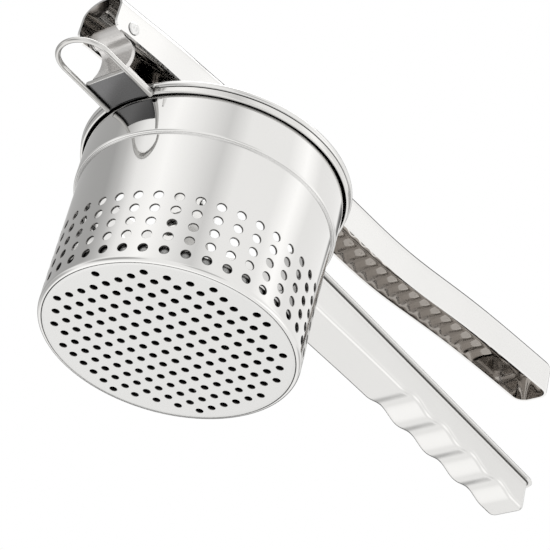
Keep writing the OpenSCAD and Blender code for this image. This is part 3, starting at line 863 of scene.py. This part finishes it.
def build_bracket():
    """The hinge bracket: a foot on the tongue, a bowed strip, and its end rolled round the pin."""
    half, t, foot_len = bracket_hi.y, 1.6 * MM, 8 * MM
    foot, barrel, bow = bracket_lo.z, bracket_hi.z - PIN.z, 1.8 * MM
    low_x, high_x = TONGUE_END + t / 2, PIN.x + barrel - t / 2

    def middle(z):
        f = (z - foot) / (PIN.z - foot)
        return low_x + (high_x - low_x) * f + bow * math.sin(math.pi * f)

    # the roll meets the strip's back in a fillet
    fillet = 2.5 * MM
    z = PIN.z - 6 * MM
    for _ in range(4):
        centre_x = middle(z) - t / 2 - fillet
        z = PIN.z - math.sqrt((barrel + fillet) ** 2 - (centre_x - PIN.x) ** 2)
    lean = math.degrees(math.atan2(PIN.z - z, PIN.x - centre_x))
    first, steps = foot + t + 0.3 * MM, 18
    rows = [first + (PIN.z - first) * i / steps for i in range(steps)]
    outline = [(TONGUE_END, foot), (TONGUE_END + foot_len, foot), (TONGUE_END + foot_len, foot + t),
               (middle(foot + t) + t / 2 + 0.5 * MM, foot + t)]
    outline += [(middle(h) + t / 2, h) for h in rows]
    outline += arc(PIN.x, PIN.z, barrel, 0, 180 + lean, 36)
    outline += arc(centre_x, z, fillet, lean, 0, 8)[1:]
    outline += [(middle(h) - t / 2, h) for h in reversed(rows) if h < z - 0.3 * MM]
    bore = [arc(PIN.x, PIN.z, 2.05 * MM, 0, 360, 40)[:-1]]
    mesh = merged("bracket", [prism(outline, -half, half, 0.25 * MM, bore)], 40)
    weighted(add_piece("hinge_knuckle", mesh, "frame", BRACKET, ["hinge_bracket"]))


def rivet_bmesh(at, ends, shank_r, head_r, head_h):
    """A pin along Y with a low domed, peened head on each end. ends are the faces that the heads lie on."""
    a, b = ends
    dome = []
    for k in range(0, 8):
        t = math.radians(90 * k / 7)
        dome.append((head_r * math.cos(t) if k < 7 else 0, 0.25 * head_h + 0.75 * head_h * math.sin(t)))
    profile = [(0, a - dome[-1][1])] + [(r, a - h) for r, h in reversed(dome[:-1])]
    profile += [(head_r, a), (shank_r, a), (shank_r, b), (head_r, b)]
    profile += [(r, b + h) for r, h in dome[:-1]] + [(0, b + dome[-1][1])]
    bm = turned_bmesh(profile, 48, closed=False)
    # the peened mark: a shallow round dent in each head
    for v in bm.verts:
        if a - head_h * 0.5 > v.co.z or v.co.z > b + head_h * 0.5:
            r = v.co.xy.length / head_r
            dent = math.exp(-((r - 0.45) / 0.16) ** 2) * head_h * 0.28
            v.co.z += dent if v.co.z < a else -dent
    spin = Vector((0, 0, 1)).rotation_difference(Vector((0, 1, 0))).to_matrix().to_4x4()
    bm.transform(Matrix.Translation(at) @ spin)
    return bm


def build_hanger():
    """The plunger's hanger: a U pressed to lie inside the upper handle, with two legs down to the pin."""
    x0, x1, t = hanger_lo.x, hanger_hi.x, 1.5 * MM
    side, outer_r = hanger_hi.y, 3.7 * MM
    steps, turn = 14, 8
    rows = []
    for i in range(steps + 1):
        x = x0 + (x1 - x0) * i / steps
        top, low = spine(x) - HANDLE_T - 0.06 * MM, spine(x) - UPPER_DEPTH
        row = []
        for inset, r, order in ((0.02 * MM, outer_r, 1), (t, outer_r - t, -1)):
            bend = arc(side - inset - r, top - inset - r, r, 0, 90, turn)
            path = [(side - inset, low)] + bend + [(-y, z) for y, z in reversed(bend)] + [(inset - side, low)]
            row += path[::order]
        rows.append([(x, y, z) for y, z in row])
    n = len(rows[0])
    verts = [v for row in rows for v in row]
    faces = [(i * n + k, (i + 1) * n + k, (i + 1) * n + (k + 1) % n, i * n + (k + 1) % n)
             for i in range(steps) for k in range(n)]
    half = n // 2
    for base in (0, steps * n):
        faces += [(base + k, base + k + 1, base + n - 2 - k, base + n - 1 - k) for k in range(half - 1)]
    mesh = mesh_of("cradle", verts, faces)
    cradle = bmesh.new()
    cradle.from_mesh(mesh)
    bpy.data.meshes.remove(mesh)
    eye = (pivot_lo + pivot_hi) / 2
    eye_r = eye.z - hanger_lo.z
    skirt0, skirt1 = spine(x0) - UPPER_DEPTH, spine(x1) - UPPER_DEPTH
    waist = eye.z + 12 * MM             # where the legs have narrowed to the eye
    leg = [(x0, skirt0 + 0.4 * MM), (x0, skirt0), (eye.x - eye_r, waist)]
    leg += arc(eye.x, eye.z, eye_r, 180, 360, 24)
    leg += [(eye.x + eye_r, waist), (x1, skirt1), (x1, skirt1 + 0.4 * MM)]
    legs = [prism(leg, y0, y0 + t, 0.2 * MM) for y0 in (-side + 0.02 * MM, side - t - 0.02 * MM)]
    mesh = merged("hanger", [cradle, *legs], 40)
    weighted(add_piece("plunger_cradle", mesh, "lever", FRAME, ["plunger_hanger"]))


def add_pins(piece, cad_node, spots, head_r):
    """The pins of one CAD node, at spots of (x, z)."""
    lo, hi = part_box(cad_node)
    head_h = 0.9 * MM
    made = [rivet_bmesh(Vector((x, 0, z)), (lo.y + head_h, hi.y - head_h), head_r * 0.6, head_r, head_h)
            for x, z in spots]
    add_piece(piece, merged(piece, made, 60), "lever", RIVET, [cad_node])


def build_rivets():
    """The pins: through the hinge, the hanger, and the plunger's eye."""
    hinge = rivet_bmesh(Vector((PIN.x, 0, PIN.z)), (-upper_hi.y, upper_hi.y),
                        1.95 * MM, (pin_hi.x - pin_lo.x) / 2, pin_hi.y - upper_hi.y)
    add_piece("hinge_rivet", merged("hinge_rivet", [hinge], 60), "lever", RIVET, ["hinge_pin"])
    lo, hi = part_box("hanger_rivets")
    head = 2.5 * MM
    spots = [(x, spine(x) - UPPER_DEPTH / 2 - 0.5 * MM) for x in (lo.x + head, hi.x - head)]
    add_pins("hanger_pins", "hanger_rivets", spots, head)
    eye = (pivot_lo + pivot_hi) / 2
    add_pins("eye_pin", "plunger_pin", [(eye.x, eye.z)], (pivot_hi.z - pivot_lo.z) / 2)


# ---------------------------------------------------------------- the stage: camera, light, floor

def make_camera():
    """The camera at the photograph's place: where it looks from, turned about Z and up, and its own roll."""
    data = bpy.data.cameras.new("camera")
    cam = bpy.data.objects.new("camera", data)
    bpy.context.scene.collection.objects.link(cam)
    data.lens = 151.9
    data.sensor_width = 36
    azimuth, elevation, roll, distance = 45.41, 35.55, 14.50, 0.770
    target = Vector((8.2, -32.6, 25.5)) * MM
    a, e = math.radians(azimuth), math.radians(elevation)
    forward = Vector((math.cos(e) * math.cos(a), math.cos(e) * math.sin(a), math.sin(e)))
    turn = forward.to_track_quat("-Z", "Y").to_matrix().to_4x4()
    spin = Matrix.Rotation(math.radians(roll), 4, "Z")
    cam.matrix_world = Matrix.Translation(target - forward * distance) @ turn @ spin
    data.clip_start, data.clip_end = 0.01, 20
    bpy.context.scene.camera = cam


# The studio: a ring of cards, as azimuth in degrees and level of light. This is not a lighting design. The
# levels are the tones of the basket wall in the photograph, in linear light, at the azimuth that each point
# mirrors. The names beside them are guesses at what stood there.
CARDS = (
    (0, 0.76), (10, 0.76),                              # pale card
    (15, 0.24), (26, 0.15),                             # gap between two cards
    (33, 0.67), (52, 0.50),                             # edge of the grey card
    (68, 0.34), (128, 0.34),                            # grey card
    (142, 0.48), (158, 0.80), (182, 0.96), (206, 0.79),  # window
    (228, 0.60),                                        # seam beside it
    (245, 0.81), (284, 0.81),                           # white card
    (303, 1.0),                                         # second window
    (322, 0.77), (360, 0.76),                           # pale card
)
TABLE = 0.82                            # level of the light top and of the light table
# Dark flags, and brighter spots on the table: azimuth, elevation, radius and soft edge in degrees, and by how
# much each multiplies the light. The first row was tuned against the photograph, the second for other views.
FLAGS = ((45, 10, 9, 18, 0.04), (36, 52, 12, 12, 0.12), (75, -60, 8, 26, 1.2), (315, -35, 8, 14, 1.3),
         (165, -22, 8, 22, 0.42), (240, -20, 5, 17, 0.55), (100, -18, 8, 20, 0.5), (0, -8, 4, 14, 0.6))


def warm_white(level):
    return (level, level * 0.995, level * 0.985, 1)


def make_world():
    """A ring of cards, a light top and a light table, with flags. Camera rays see plain white instead."""
    world = bpy.data.worlds.new("studio")
    bpy.context.scene.world = world
    world.use_nodes = True
    tree = world.node_tree
    back = tree.nodes["Background"]
    back.inputs["Strength"].default_value = 1 / STEEL
    towards = node(tree, "ShaderNodeTexCoord").outputs["Generated"]
    split = node(tree, "ShaderNodeSeparateXYZ")
    link(tree, towards, split.inputs["Vector"])
    turn = joined(tree, "ARCTAN2", split.outputs["Y"], split.outputs["X"])
    ramp = node(tree, "ShaderNodeValToRGB")
    bar = ramp.color_ramp
    while len(bar.elements) < len(CARDS):
        bar.elements.new(0.5)
    for element, (azimuth, level) in zip(bar.elements, CARDS):
        element.position = azimuth / 360
    for element, (azimuth, level) in zip(bar.elements, CARDS):
        element.color = warm_white(level)
    link(tree, joined(tree, "FRACT", joined(tree, "DIVIDE", turn, TAU)), ramp.inputs["Fac"])

    # the cards fade into the light top, and into the light table below
    above = ranged(tree, split.outputs["Z"], interpolation_type="SMOOTHSTEP", From_Min=0.72, From_Max=0.95)
    below = ranged(tree, split.outputs["Z"], interpolation_type="SMOOTHSTEP", From_Min=0.25, From_Max=-0.15)
    light = colour_mix(tree, joined(tree, "MAXIMUM", above, below), ramp.outputs["Color"], warm_white(TABLE))
    shade = None
    for azimuth, elevation, radius, soft, left in FLAGS:
        a, e = math.radians(azimuth), math.radians(elevation)
        aim = node(tree, "ShaderNodeVectorMath", operation="DOT_PRODUCT")
        link(tree, towards, aim.inputs[0])
        aim.inputs[1].default_value = (math.cos(e) * math.cos(a), math.cos(e) * math.sin(a), math.sin(e))
        flag = ranged(tree, aim.outputs["Value"], interpolation_type="SMOOTHSTEP",
                      From_Min=math.cos(math.radians(radius + soft)), From_Max=math.cos(math.radians(radius)),
                      To_Min=1, To_Max=left)
        shade = joined(tree, "MULTIPLY", shade, flag) if shade else flag
    link(tree, colour_mix(tree, 1, light, shade, "MULTIPLY"), back.inputs["Color"])
    white = node(tree, "ShaderNodeBackground", Color=(1, 1, 1, 1))
    path = node(tree, "ShaderNodeLightPath")
    shader_mix(tree, path.outputs["Is Camera Ray"], back.outputs["Background"], white.outputs["Background"],
               tree.nodes["World Output"])


FLOOR_HALF = 6                          # metres


def make_floor():
    """A pale floor just under the basket, which takes the object's shadow. It can't be seen from below, where
    the photograph looks up from, and it is left out of reflections and of bounced light."""
    bm = bmesh.new()
    bmesh.ops.create_grid(bm, x_segments=1, y_segments=1, size=FLOOR_HALF)
    mesh = bpy.data.meshes.new("floor")
    bm.to_mesh(mesh)
    bm.free()
    floor = bpy.data.objects.new("floor", mesh)
    floor.location.z = -0.3 * MM
    bpy.context.scene.collection.objects.link(floor)
    material, tree, shader = new_material("floor")
    shader.inputs["Base Color"].default_value = (0.62, 0.62, 0.615, 1)
    shader.inputs["Roughness"].default_value = 0.85
    side = node(tree, "ShaderNodeNewGeometry")
    clear = node(tree, "ShaderNodeBsdfTransparent")
    shader_mix(tree, side.outputs["Backfacing"], shader.outputs["BSDF"], clear.outputs["BSDF"],
               tree.nodes["Material Output"])
    mesh.materials.append(material)
    for ray in ("diffuse", "glossy", "transmission", "shadow"):
        setattr(floor, "visible_" + ray, False)


def make_light():
    """One large soft box overhead."""
    data = bpy.data.lights.new("softbox", "AREA")
    data.shape = "RECTANGLE"
    data.size, data.size_y = 1.2, 0.9
    data.energy = 6
    lamp = bpy.data.objects.new("softbox", data)
    lamp.location = (0.1, 0.0, 1.4)
    bpy.context.scene.collection.objects.link(lamp)


# ---------------------------------------------------------------- build

build_basket_wall()
build_basket_base()
build_upper_handle()
build_lower_handle()
build_frame_ring()
build_bracket()
build_hanger()
build_rivets()

# the CAD nodes that stay, with better materials
CAD_LOOKS = {
    "pot_hook": WIRE, "hinge_washers": RIVET, "plunger_stem": FRAME,
    "plunger_plate": POLISHED, "stem_rivets": RIVET, "handle_saddle": FRAME, "saddle_rivets": RIVET,
    "fine_disc": DISC, "coarse_disc": DISC, "slotted_disc": DISC,
}
for name, material in CAD_LOOKS.items():
    for slot in nodes[name].material_slots:
        slot.material = material

make_camera()
make_world()
make_floor()
make_light()
bpy.context.scene.view_settings.view_transform = "Standard"
